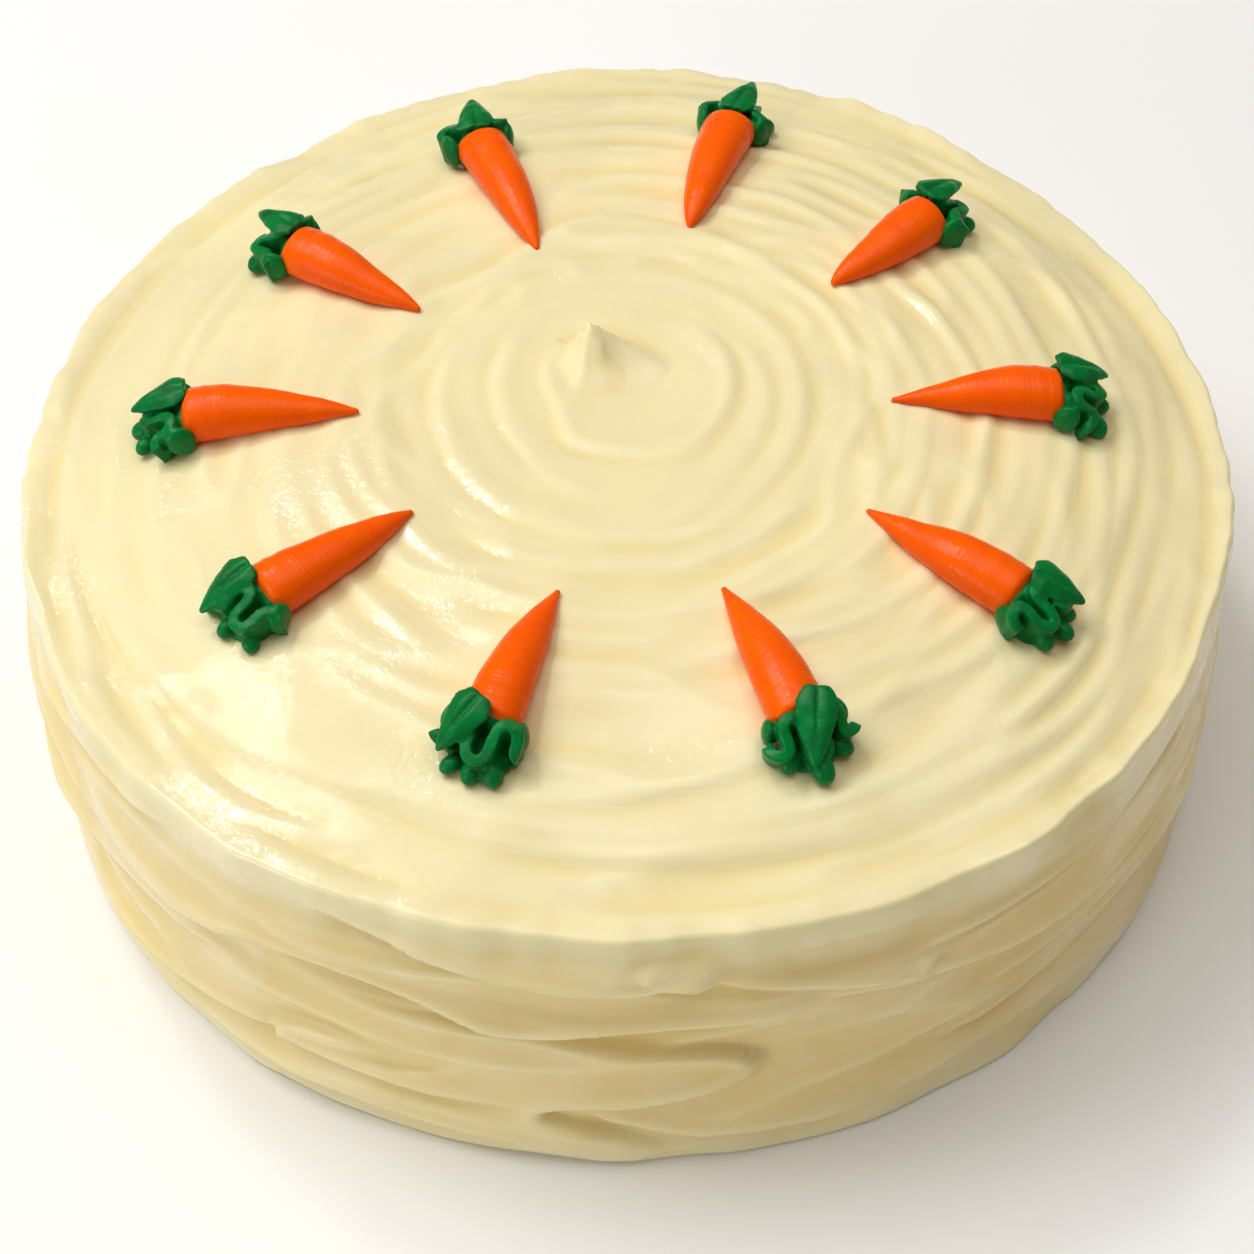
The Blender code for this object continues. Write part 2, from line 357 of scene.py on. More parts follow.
def spiralRise(radius, angle, drift, patch):
    # the spatula's long spiral, pressed harder on the right and most towards the rim there
    press = spiral["press"] + spiral["pressRight"] * np.cos(angle + spiral["pressTurn"])
    press = press + spiral["pressPatches"] * patch
    onRight = smoothStep(spiral["outerFrom"], spiral["outerTo"], radius) * (np.cos(angle) > 0)
    press = press * (1 + spiral["outerPress"] * onRight * np.cos(angle) ** 2)
    turns = radius / spiral["pitch"] - angle / (2 * pi) + spiral["drift"] * drift
    saw, climb = turns % 1.0, spiral["climb"]
    lap = np.where(saw < climb, saw / climb, (1 - saw) / (1 - climb))
    lap = lap * lap * (3 - 2 * lap)
    harder = np.sin(spiral["turnStep"] * np.floor(turns))  # some turns press harder
    lap = lap * (spiral["turnMean"] + spiral["turnSwing"] * harder)
    band = smoothStep(spiral["starts"] - spiral["fadeIn"], spiral["starts"], radius)
    band = band * (1 - smoothStep(spiral["ends"] - spiral["fadeOut"], spiral["ends"], radius))
    return spiral["depth"] * lap * band * np.clip(press, *spiral["pressLimits"])


def middleRise(x, y, radius, drift):
    # faint rings and a shallow pool, a little behind the cake's own middle
    inner = 1 - smoothStep(middleRings["fadeFrom"], middleRings["fadeTo"], radius)
    middleY = y - middleRings["shift"] * inner
    around, out = np.arctan2(middleY, x), np.hypot(x, middleY)
    turns = out / middleRings["pitch"] + around / (2 * pi) + middleRings["drift"] * drift
    clear = smoothStep(middleRings["clearFrom"], middleRings["clearTo"], out)
    rings = middleRings["depth"] * np.sin(2 * pi * turns) * inner * clear
    pool = middleRings["poolDip"] * np.exp(-(out / middleRings["poolReach"]) ** 2)
    return rings - middleRings["drop"] * inner - pool


def topRise(x, y):
    # height of the iced top above the rim's plane
    radius, angle = np.hypot(x, y), np.arctan2(y, x)
    drift = wander(x, y, topRelief["driftLength"], seeds["drift"])
    patch = wander(x, y, topRelief["patchLength"], seeds["patch"])
    rise = domeHeight(x, y) + spiralRise(radius, angle, drift, patch)
    rise = rise + topRelief["swell"] * wander(x, y, topRelief["swellLength"], seeds["swell"])
    rise = rise + middleRise(x, y, radius, drift)
    uneven = wander(x, y, topRelief["rimUnevenLength"], seeds["rimRidge"])
    uneven = 1 + topRelief["rimUneven"] * uneven - topRelief["rimFront"] * np.sin(angle)
    rise = rise + topRelief["rimRidge"] * uneven * smoothStep(
        topRelief["rimRidgeFrom"], topRelief["rimRidgeTo"], radius
    )
    turns = topRelief["foldTurns"]
    folds = ridges(turns * np.cos(angle), turns * np.sin(angle),
                   radius / topRelief["foldLength"], seeds["folds"])
    rise = rise + topRelief["folds"] * folds * smoothStep(
        topRelief["foldsFrom"], topRelief["foldsTo"], radius
    )
    for places, height, inwards, outwards, groove in topLaps:
        line = polarLine(places)[::-1]
        share = topRelief["lapStrength"] * mm
        rise = rise + stroke(x, y, line, height * share, inwards * mm, outwards * mm,
                             groove * share, topRelief["lapEdge"])
    return rise + peakHeight(x, y)


# laps of the spatula on the wall: (degrees, height in millimetres), then rise, reach to the
# left of its run, reach to the right and depth of the groove there, in millimetres
wallLaps = (
    ([(-118, 62), (-111, 59.5), (-104, 56), (-94, 53.8), (-86, 54.6), (-80, 57)],
     1.5, 8, 5, 0.8),
    ([(-87, 63), (-88.6, 60.4), (-88, 56.5)], 1.1, 2, 2, 0.3),
    ([(-89, 57), (-77, 51.7), (-72, 49), (-65, 46.4)], 0.9, 6, 4, 0.4),
    ([(-64.5, 45), (-63.4, 48), (-63, 52)], 0.8, 2, 2, 0.2),
    ([(-150, 40), (-136, 40.4), (-128, 41.4), (-123, 44.6), (-116, 45.7), (-110, 43.6),
      (-104, 39.8), (-98, 38), (-92, 42), (-86, 43.6), (-76, 44), (-71, 48.4)],
     1.4, 7, 6, 0.8),
    ([(-74, 45), (-62, 42.5), (-52, 40.3), (-38, 37.6), (-22, 36)], 0.9, 7, 5, 0.5),
    ([(-122, 38.8), (-110, 37.4), (-96, 36.6), (-84, 33.9), (-79, 29.8), (-79, 25.2),
      (-85, 20.9), (-95, 17.6), (-97, 15.2), (-93, 11.2), (-88.5, 6.9), (-85, 2.6)],
     -0.5, 5, 6, -1.2),
    ([(-110, 24.4), (-119, 22.8), (-121.6, 19.6), (-120, 16.9), (-110, 16.4), (-97, 16.8)],
     1.0, 5, 4, 0.5),
    ([(-146, 11.4), (-138, 13.4), (-129, 16.2), (-119, 17.4)], 0.9, 6, 5, 0.6),
    ([(-146, 5.6), (-134, 7.6), (-120, 7.4), (-108, 6.2), (-96, 6)], 0.8, 5, 4, 0.4),
    ([(-94, 15), (-86, 10.4), (-78, 7.6), (-66, 7)], 0.9, 4, 5, 0.4),
    ([(-166, 22), (-152, 26), (-138, 31), (-126, 33.6)], 0.9, 7, 6, 0.5),
    ([(-164, 47), (-152, 52), (-142, 57), (-130, 61)], 0.9, 6, 5, 0.5),
    ([(-62, 17), (-48, 19), (-34, 23), (-20, 29)], 0.8, 7, 6, 0.5),
    ([(-66, 52), (-50, 54), (-34, 56), (-18, 57)], 0.7, 6, 4, 0.4),
    ([(-58, 30), (-44, 30), (-32, 33), (-18, 39)], 0.5, 6, 6, 0.3),
)

wallRelief = {
    "lapStrength": 2.1,
    "lapShadow": 0.35 * mm,
    "lapEdge": 0.36 * mm,
    # the hidden sides carry the same laps again: (turn, reach to either side), in degrees
    "repeats": ((0, 84), (134, 53), (241, 53)),
    "middle": -92,
    "fade": 8,
    # waves round the wall: (how many, lean for each metre up, start, depth)
    "waves": ((3, 70, 0.8, 0.33 * mm), (5, -110, 0.0, 0.231 * mm)),
    "streakDepth": 0.24 * mm,
    "streakTurns": 3.0,
    "streakLength": 3.2 * mm,
    "handDepth": 0.80 * mm,
    "handTurns": 1.86,
    "handSlant": 3 * mm,
    "handLength": 11 * mm,
    "lipHollow": 0.7 * mm,
    "lipDrop": 6 * mm,
    "lipWidth": 2.6 * mm,
    "lipUneven": 0.4,
    "fadeBelow": 4 * mm,
    "fadeAbove": 5 * mm,
}

# small bumps of the rim and of the foot
edgeRelief = {
    "bumpLength": 13 * mm,
    "fineLength": 4 * mm,
    "rimFrom": 0.93,
    "rimTo": 0.985,
    "rimBelow": 0.86,
    "rimRise": 0.75 * mm,
    "fineRise": 0.45,
    "rimOut": 1.2 * mm,
    "fineOut": 0.3,
    "wallAbove": 0.24 * mm,
    "wallFrom": 0.95,
    "footFrom": 1 * mm,
    "footTo": 7 * mm,
    "footMean": 0.15 * mm,
    "footOut": 0.8 * mm,
}


def wallLine(places, turn):
    line = curveThrough([(degrees + turn, height) for degrees, height in places], 6)
    return np.stack([np.radians(line[:, 0]) * cake["rimRadius"], line[:, 1] * mm], 1)


def lapsOut(angle, height):
    # how far the spatula's laps stand out at a place on the wall
    out = np.zeros(angle.shape)
    fade = wallRelief["fade"]
    for turn, reach in wallRelief["repeats"]:
        middle = radians(wallRelief["middle"] + turn)
        away = (angle - middle + pi) % (2 * pi) - pi
        near = np.abs(away) < radians(reach + fade)
        u = (away[near] + middle) * cake["rimRadius"]
        shade = 1 - smoothStep(radians(reach - fade), radians(reach + fade), np.abs(away[near]))
        added = np.zeros(u.shape)
        for places, rise, left, right, groove in wallLaps:
            share = wallRelief["lapStrength"] * mm
            added += stroke(u, height[near], wallLine(places, turn), rise * share, left * mm,
                            right * mm, groove * share + wallRelief["lapShadow"],
                            wallRelief["lapEdge"])
        out[near] += added * shade
    return out


def wallOut(angle, height):
    # how far the wall stands out at a place
    out = lapsOut(angle, height)
    for count, lean, start, depth in wallRelief["waves"]:
        out += depth * np.sin(count * angle + lean * height + start)
    x, y = np.cos(angle), np.sin(angle)
    turns, length = wallRelief["streakTurns"], wallRelief["streakLength"]
    out += wallRelief["streakDepth"] * np.array([
        noise.noise(Vector((a * turns, b * turns, h / length))) for a, b, h in zip(x, y, height)
    ])
    slanted = height + wallRelief["handSlant"] * np.sin(2 * angle)
    hand = ridges(wallRelief["handTurns"] * x, wallRelief["handTurns"] * y,
                  slanted / wallRelief["handLength"], seeds["hand"])
    out += wallRelief["handDepth"] * hand
    beneath = (height - cake["rimHeight"] + wallRelief["lipDrop"]) / wallRelief["lipWidth"]
    out -= wallRelief["lipHollow"] * np.exp(-beneath**2) * (1 + wallRelief["lipUneven"] * hand)
    above = cake["rimHeight"] - wallRelief["fadeAbove"]
    ends = smoothStep(0.0, wallRelief["fadeBelow"], height)
    return out * ends * (1 - smoothStep(above, cake["rimHeight"], height))


def addRings(rings):
    # each ring is the last one drawn out, resized about the middle and lifted
    radius, height = rings[0]
    for nextRadius, nextHeight in rings[1:]:
        bpy.ops.mesh.extrude_edges_move()
        bpy.ops.transform.resize(value=(nextRadius / radius, nextRadius / radius, 1.0),
                                 center_override=(0, 0, 0))
        bpy.ops.transform.translate(value=(0, 0, nextHeight - height))
        radius, height = nextRadius, nextHeight


def cutBetween(piece, isInside, cuts):
    # divides the edges that run from ring to ring across one stretch of the profile
    bpy.ops.mesh.select_mode(type="EDGE")
    bpy.ops.mesh.select_all(action="DESELECT")
    shape = bmesh.from_edit_mesh(piece.data)
    for edge in shape.edges:
        if edge.calc_length() > cake["longEdge"] and all(isInside(v.co) for v in edge.verts):
            edge.select_set(True)
    bmesh.update_edit_mesh(piece.data)
    bpy.ops.mesh.subdivide(number_cuts=cuts)


def makeIcing():
    rim, base, rounding = cake["rimRadius"], cake["baseRadius"], cake["rimRounding"]
    top, shoulder, tuck = cake["rimHeight"], cake["rimHeight"] - rounding, cake["baseTuck"]
    middle, soft = cake["topMiddle"], tuck * cake["tuckRound"]
    deselectAll()
    bpy.ops.mesh.primitive_circle_add(vertices=cake["around"], radius=middle,
                                      fill_type="TRIFAN", location=(0, 0, top))
    icing = nameActive("icing")
    bpy.ops.object.transform_apply(location=True, rotation=True, scale=True)
    bpy.ops.object.mode_set(mode="EDIT")
    bpy.ops.mesh.select_all(action="SELECT")
    bpy.ops.mesh.region_to_loop()
    rings = [(middle, top), (rim - rounding, top)]
    for step in range(1, cake["rimRings"] + 1):
        turn = pi / 2 * (1 - step / cake["rimRings"])
        rings.append((rim - rounding + rounding * cos(turn), shoulder + rounding * sin(turn)))
    rings += [(base, tuck), (base - soft, soft), (base - tuck, 0)]
    rings += [(base * share, 0) for share in cake["underRings"]]
    rings.append((cake["underMiddle"], 0))
    addRings(rings)
    bpy.ops.mesh.merge(type="CENTER")
    cutBetween(icing, lambda at: at.z > top - 1e-6, cake["topRings"] - 1)
    cutBetween(icing, lambda at: tuck - 1e-6 < at.z < shoulder + 1e-6, cake["wallRings"] - 1)
    bpy.ops.object.mode_set(mode="OBJECT")
    return icing


def pressRelief(icing):
    # the dome, the spatula's laps and the hand's unevenness, put into the plain turned form
    x, y, z = readPoints(icing).T
    radius, angle = np.hypot(x, y), np.arctan2(y, x)
    rim, rounding, top = cake["rimRadius"], cake["rimRounding"], cake["rimHeight"]
    onTop = z > top - rounding - 1e-6
    onRim = (rim * np.cos(angle), rim * np.sin(angle))
    bumps = wander(*onRim, edgeRelief["bumpLength"], seeds["bumps"])
    fine = wander(*onRim, edgeRelief["fineLength"], seeds["fineBumps"])
    nearRim = smoothStep(edgeRelief["rimFrom"], edgeRelief["rimTo"], radius / rim)
    nearRim = nearRim * smoothStep(top * edgeRelief["rimBelow"], top, z)

    rise = nearRim * edgeRelief["rimRise"] * (bumps + edgeRelief["fineRise"] * fine)
    rise[onTop] += topRise(x[onTop], y[onTop])
    height = z + rise * smoothStep(top - rounding, top, z)

    side = (z > edgeRelief["wallAbove"]) & (radius > rim * edgeRelief["wallFrom"])
    out = np.zeros(x.shape)
    out[side] = wallOut(angle[side], height[side])
    out += nearRim * edgeRelief["rimOut"] * (bumps + edgeRelief["fineOut"] * fine)
    low = 1 - smoothStep(edgeRelief["footFrom"], edgeRelief["footTo"], z)
    out += side * low * (edgeRelief["footMean"] + edgeRelief["footOut"] * bumps)

    factor = outlineFactor(angle, z)
    acrossX, acrossY = x * factor + out * np.cos(angle), y * factor + out * np.sin(angle)
    writePoints(icing, np.column_stack([acrossX, acrossY, height]))
    addAttribute(icing, "along", np.where(onTop, radius, rim + top - z))


def markHollows(icing):
    # how far each place lies below its neighbours, for the painted shade in the grooves and the
    # painted highlight on the crests
    count = len(icing.data.vertices)
    edges = np.zeros(len(icing.data.edges) * 2, int)
    icing.data.edges.foreach_get("vertices", edges)
    a, b = edges.reshape(-1, 2).T
    points = readPoints(icing)
    normals = np.zeros(count * 3)
    icing.data.vertices.foreach_get("normal", normals)
    normals = normals.reshape(-1, 3)
    degree = np.bincount(a, minlength=count) + np.bincount(b, minlength=count)
    mean = points.copy()
    for _ in range(cake["hollowPasses"]):
        total = np.zeros_like(mean)
        np.add.at(total, a, mean[b])
        np.add.at(total, b, mean[a])
        mean = 0.5 * mean + 0.5 * total / degree[:, None]
    depth = ((mean - points) * normals).sum(1)
    addAttribute(icing, "hollow", np.clip(depth / cake["hollowFull"], -1, 1))


icing = makeIcing()
pressRelief(icing)
closeAndTurnOut(icing)
bpy.ops.object.shade_smooth()
markHollows(icing)
print("icing:", len(icing.data.polygons), "faces")


# the piped carrots

carrot = {
    "count": 10,
    "width": 10.9 * mm,
    "tall": 9.6 * mm,
    "sink": 1.3 * mm,
    "sinkRate": 3,  # the tip rests on the icing, and the sink is full from a third of the way
    "lift": 0.3 * mm,
    "tipAhead": 0.5 * mm,
    "endBefore": 4.0 * mm,
    "endBand": 1.5 * mm,
    "segments": 40,
    "rings": 44,
    "tipRound": 0.085,
    "tipFrom": 0.01,
    "fullFrom": 0.92,
    "bluntFrom": 0.93,
    "taper": (0.72, 0.62, 0.64, 0.92, 0.84, 0.84, 0.84, 0.78, 0.82, 0.72),
    "uneven": 0.03,
    "unevenTurns": 7,
    "ripple": 0.05 * mm,
    "rippleLength": 1.3 * mm,
    "bend": 0.5 * mm,
}


def numbered(index):
    return f"{index + 1:02d}"


def spokeOf(number):
    # where the frame's carrot lies: its tip, the place of its green top and its direction
    points = readPoints(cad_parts[f"carrot_{number}"])
    radius = np.hypot(points[:, 0], points[:, 1])
    tip = Vector(points[radius.argmin()][:2])
    rough = (Vector(points[radius.argmax()][:2]) - tip).normalized()
    along = (points[:, :2] - np.array(tip)) @ np.array(rough)
    far = points[along > along.max() - carrot["endBand"]]
    end = Vector((far[:, :2].max(0) + far[:, :2].min(0)) / 2)
    out = (end - tip).normalized()
    return tip - out * carrot["tipAhead"], end, out


def iceAt(place):
    x, y = np.array([place.x]), np.array([place.y])
    return cake["rimHeight"] + float(domeHeight(x, y)[0])


def carrotHalf(share, length, seed):
    # half the carrot's width along it, from its fine tip to its blunt end
    half = np.sin(pi / 2 * np.minimum(1, share / carrot["fullFrom"])) ** carrot["taper"][seed]
    tipRound = np.minimum(1, share / carrot["tipFrom"]) ** 0.5
    tipRound = carrot["tipRound"] * tipRound * (1 - share)
    full = np.sqrt(half**2 + tipRound**2)
    past = np.maximum(0, share - carrot["bluntFrom"]) / (1 - carrot["bluntFrom"])
    half = carrot["width"] / 2 * full * np.sqrt(np.clip(1 - past**2, 0, 1))
    half = half * (1 + carrot["uneven"] * np.sin(carrot["unevenTurns"] * share + seed))
    wave = np.sin(2 * pi * share * length / carrot["rippleLength"])
    return half + carrot["ripple"] * wave * full


def makeCarrot(number, seed):
    tip, top, out = spokeOf(number)
    length = (top - tip).length - carrot["endBefore"]
    deselectAll()
    bpy.ops.mesh.primitive_uv_sphere_add(segments=carrot["segments"],
                                         ring_count=carrot["rings"], radius=1.0)
    piece = nameActive(f"piped_carrot_{number}")
    points = readPoints(piece)
    polar = np.arccos(np.clip(points[:, 2], -1, 1))
    around = np.arctan2(points[:, 1], points[:, 0])
    share = (1 - np.cos(polar)) / 2
    half = carrotHalf(share, length, seed)
    flatness = carrot["tall"] / carrot["width"]
    bend = carrot["bend"] * np.sin(pi * share) * (1 if seed % 2 else -1)
    middle = np.array(tip) + np.outer(share * length, np.array(out))
    plan = middle + np.outer(half * np.cos(around) + bend, np.array((-out.y, out.x)))
    ice = cake["rimHeight"] + domeHeight(middle[:, 0], middle[:, 1])
    centre = half * flatness - carrot["sink"] * np.minimum(1, carrot["sinkRate"] * share)
    height = ice + centre + half * flatness * np.sin(around) + carrot["lift"]
    writePoints(piece, np.column_stack([plan, height]))
    closeAndTurnOut(piece)
    bpy.ops.object.shade_smooth()
    reach = (readPoints(piece)[:, :2] - np.array(tip)) @ np.array(out)
    addAttribute(piece, "along", reach)
    return piece


# their green tops, piped with a leaf tip: a ribbon folded to and fro across the carrot's
# end, a lower fold whose bends stick out, and one pointed leaf

green = {
    "inwards": 2.7 * mm,
    "levelReach": 12 * mm,
    "voxel": 0.33 * mm,
    "smoothing": 3,
    "uneven": 0.16 * mm,
    "unevenLength": 2.1 * mm,
}

ribbon = {
    "across": 15.6 * mm,
    "forward": -0.1 * mm,
    "stepsAcross": 110,
    "stepsUp": 8,
    "folds": 0.80,  # share of a plan's folds that the ribbon shows
    "phaseSway": 0.25,
    "depth": 3.2 * mm,
    "depthSway": 0.12,
    "endDepth": 0.5,
    "footDepth": 0.72,
    "overhang": 0.62 * mm,
    "bulge": 1.4 * mm,
    "narrowFoot": 0.9,
    "foot": 0.4 * mm,
    "top": 8.7 * mm,
    "fall": 0.36,
    "endDrop": 3.0 * mm,
    "endShape": 3.2,
    "topSway": 0.3 * mm,
    "underLeaf": 2.0 * mm,
    "underWidth": 2.4 * mm,
    "lean": 0.8 * mm,
    "thick": 2.05 * mm,
}

leaf = {
    "half": 3.8 * mm,
    "least": 0.08 * mm,
    "startWidth": 0.55,
    "widening": 2.2,
    "point": 1.8,
    "pointShape": 0.85,
    "stepsAlong": 40,
    "stepsAcross": 16,
    "swell": 1.2 * mm,
    "swellFrom": 0.1,
    "crease": 1.25 * mm,
    "creaseWidth": 0.16,
    "droop": 1.3,
    "thick": 1.15 * mm,
}

lobe = {  # sizes and places in millimetres, outwards, across and up
    "count": 3,
    "fan": 92,
    "fanSway": 0.2,
    "reach": 5.5,
    "reachSway": 0.6,
    "widen": 1.1,
    "lift": 1.7,
    "size": Vector((2.3, 1.8, 1.8)),
    "sizeSway": 0.14,
    "tilt": 0.25,
    "endPlace": (-2.9, 6.3, 3.9),
    "endSize": Vector((2.5, 1.3, 3.1)),
    "endSway": 0.1,
    "endTurn": 0.35,
    "endTilt": 0.2,
    "collar": (Vector((-3.6, 0, 3.0)), Vector((2.0, 5.8, 4.0))),
    "foot": (Vector((0.8, 0, 0.6)), Vector((4.4, 6.0, 1.6))),
}

# for each top: the leaf's turn in degrees, where it starts outwards and across, its length,
# lift and drop in millimetres, how many folds the ribbon has, where they start, and which
# way the ribbon is turned over
planNames = ("turn", "out", "across", "length", "lift", "drop", "folds", "start", "flip")
topPlans = [dict(zip(planNames, plan)) for plan in (
    (-12, -3.6, 0.3, 11.8, 7.8, 0.2, 3.0, 0.2, 1),
    (-6, -3.2, 0.0, 12.6, 7.8, 0.0, 2.6, 0.9, -1),
    (-3, -3.6, 2.2, 11.5, 8.4, 1.6, 3.0, 0.5, 1),
    (8, -4.6, 3.2, 11.0, 8.4, 3.0, 3.0, 0.1, 1),
    (20, -4.0, 2.2, 10.4, 8.2, 3.8, 3.4, 0.4, -1),
    (-24, -5.6, 3.4, 12.8, 9.0, 4.6, 3.0, 0.0, 1),
    (-24, -5.6, -1.6, 10.8, 8.8, 4.2, 2.6, 0.3, -1),
    (-4, -4.6, -3.2, 11.4, 8.2, 4.0, 3.0, 0.6, -1),
    (5, -4.6, -3.0, 11.2, 8.2, 2.8, 3.0, 0.2, -1),
    (-8, -4.0, -1.0, 11.5, 8.2, 0.8, 3.0, 0.7, -1),
)]


def addRibbon(plan, seed):
    # an upright ribbon of icing that swings to and fro across the carrot's end
    bpy.ops.mesh.primitive_grid_add(x_subdivisions=ribbon["stepsAcross"],
                                    y_subdivisions=ribbon["stepsUp"], size=1.0)
    piece = bpy.context.object
    points = readPoints(piece)
    share, up = points[:, 0] + 0.5, points[:, 1] + 0.5
    fromMiddle = np.abs(2 * share - 1)
    phase = 2 * pi * (ribbon["folds"] * plan["folds"] * share + plan["start"])
    phase = phase + ribbon["phaseSway"] * np.sin(2 * pi * share + seed)
    ends = 1 - ribbon["endDepth"] * fromMiddle**3
    flare = ribbon["footDepth"] + (1 - ribbon["footDepth"]) * up
    swing = ribbon["depth"] * (1 + ribbon["depthSway"] * np.sin(4 * share + seed)) * ends * flare
    bulge = ribbon["bulge"] * (np.cos(pi * (share - 0.5)) - 0.5)
    forward = ribbon["forward"] + bulge + swing * np.sin(phase)
    narrow = ribbon["narrowFoot"] + (1 - ribbon["narrowFoot"]) * up
    sideways = (share - 0.5) * ribbon["across"] * narrow
    sideways = sideways - ribbon["overhang"] * np.sin(2 * phase) * flare
    crown = ribbon["top"] - ribbon["fall"] * (forward + ribbon["depth"])
    crown = crown - ribbon["endDrop"] * fromMiddle ** ribbon["endShape"]
    crown = crown + ribbon["topSway"] * np.sin(9 * share + seed)
    leafLine = plan["across"] * mm + tan(radians(plan["turn"])) * (forward - plan["out"] * mm)
    under = (sideways - plan["flip"] * leafLine) / ribbon["underWidth"]
    crown = crown - ribbon["underLeaf"] * np.exp(-under**2)
    height = ribbon["foot"] + (crown - ribbon["foot"]) * up
    forward = forward + ribbon["lean"] * up**1.5
    writePoints(piece, np.column_stack([forward, sideways, height]))
    applyModifier(piece, "SOLIDIFY", thickness=ribbon["thick"], offset=0.0)
    return piece


def addNub(place, size, turn=0.0, tilt=0.0):
    bpy.ops.mesh.primitive_uv_sphere_add(segments=20, ring_count=12, radius=1.0)
    piece = bpy.context.object
    shape = Matrix.Rotation(turn, 4, "Z") @ Matrix.Rotation(tilt, 4, "Y")
    shape = Matrix.Translation(place) @ shape @ Matrix.Diagonal((*size, 1.0))
    piece.data.transform(shape)
    return piece


def addLeaf(plan):
    # a pointed blade with a crease down its middle, drooping towards its tip
    length, lift, drop = plan["length"] * mm, plan["lift"] * mm, plan["drop"] * mm
    bpy.ops.mesh.primitive_grid_add(x_subdivisions=leaf["stepsAlong"],
                                    y_subdivisions=leaf["stepsAcross"], size=1.0)
    piece = bpy.context.object
    points = readPoints(piece)
    share, side = points[:, 0] + 0.5, points[:, 1] * 2
    half = leaf["half"] * np.minimum(1, leaf["startWidth"] + leaf["widening"] * share)
    half = half * (1 - share ** leaf["point"]) ** leaf["pointShape"]
    half = np.maximum(half, leaf["least"])
    along = leaf["swellFrom"] + (1 - leaf["swellFrom"]) * share
    swell = leaf["swell"] * (1 - side**2) * np.sin(pi * along) ** 0.5
    crease = leaf["crease"] * np.exp(-(side / leaf["creaseWidth"]) ** 2) * (1 - share**4)
    height = lift - drop * share ** leaf["droop"] + swell - crease
    writePoints(piece, np.column_stack([share * length, side * half, height]))
    turn = Matrix.Rotation(radians(plan["turn"]), 4, "Z")
    start = Matrix.Translation((plan["out"] * mm, plan["across"] * mm, 0))
    piece.data.transform(start @ turn)
    applyModifier(piece, "SOLIDIFY", thickness=leaf["thick"], offset=0.0)
    return piece


def addLobes(seed):
    # the bends of the lower fold that stick out, the ribbon's two ends, a collar and a foot
    shapes = []
    for index in range(lobe["count"]):
        turn = radians(lobe["fan"] * (index / (lobe["count"] - 1) - 0.5))
        turn = turn + lobe["fanSway"] * sin(seed * 3 + index)
        reach = lobe["reach"] + lobe["reachSway"] * sin(seed * 5 + 2.3 * index)
        place = Vector((reach * cos(turn), reach * lobe["widen"] * sin(turn), lobe["lift"]))
        size = lobe["size"] * (1 + lobe["sizeSway"] * sin(seed * 2 + index * 1.9))
        shapes.append(addNub(place * mm, size * mm, turn, lobe["tilt"]))
    for end in (-1, 1):
        back, across, lift = lobe["endPlace"]
        place = Vector((back, end * across, lift))
        size = lobe["endSize"] * (1 + lobe["endSway"] * sin(seed + end))
        shapes.append(addNub(place * mm, size * mm, lobe["endTurn"] * end, lobe["endTilt"]))
    for place, size in (lobe["collar"], lobe["foot"]):
        shapes.append(addNub(place * mm, size * mm))
    return shapes


def topFrame(number):
    # the place of a green top: outwards along the ice, across, and up from it
    _, top, out = spokeOf(number)
    climb = iceAt(top) - iceAt(top - out * green["levelReach"])
    level = Vector((out.x, out.y, climb / green["levelReach"])).normalized()
    side = Vector((-out.y, out.x, 0))
    home = Matrix((level, side, level.cross(side))).transposed().to_4x4()
    middle = top - out * green["inwards"]
    home.translation = (middle.x, middle.y, iceAt(middle))
    return home


def makeGreenTop(number, plan, seed):
    deselectAll()
    shapes = [addRibbon(plan, seed)] + addLobes(seed)
    if plan["flip"] < 0:
        for shape in shapes:
            shape.data.transform(Matrix.Diagonal((1, -1, 1, 1)))
            shape.data.flip_normals()
    shapes.append(addLeaf(plan))

    deselectAll()
    for shape in shapes:
        shape.select_set(True)
    bpy.context.view_layer.objects.active = shapes[0]
    bpy.ops.object.join()
    piece = nameActive(f"piped_green_{number}")
    applyModifier(piece, "REMESH", mode="VOXEL", voxel_size=green["voxel"])
    applyModifier(piece, "SMOOTH", factor=0.5, iterations=green["smoothing"])
    points = readPoints(piece)
    points[:, 2] += green["uneven"] * np.array([
        noise.noise(Vector(p) / green["unevenLength"] + Vector((seed, 0, 0))) for p in points
    ])
    writePoints(piece, points)
    piece.data.transform(topFrame(number))
    makeActive(piece)
    bpy.ops.object.shade_smooth()
    return piece


carrots, greens = [], []
for index in range(carrot["count"]):
    number = numbered(index)
    carrots.append(makeCarrot(number, index))
    greens.append(makeGreenTop(number, topPlans[index], index + 1))
    print("carrot", number, "and its top:", len(greens[-1].data.polygons), "faces")


# finishes

def newMaterial(name):
    material = bpy.data.materials.new(name)
    material.use_nodes = True
    return material, material.node_tree.nodes, material.node_tree.links


def mathNode(nodes, links, operation, first, second=None):
    node = nodes.new("ShaderNodeMath")
    node.operation = operation
    for socket, value in zip(node.inputs, (first, second)):
        if isinstance(value, (int, float)):
            socket.default_value = value
        elif value is not None:
            links.new(value, socket)
    return node.outputs[0]


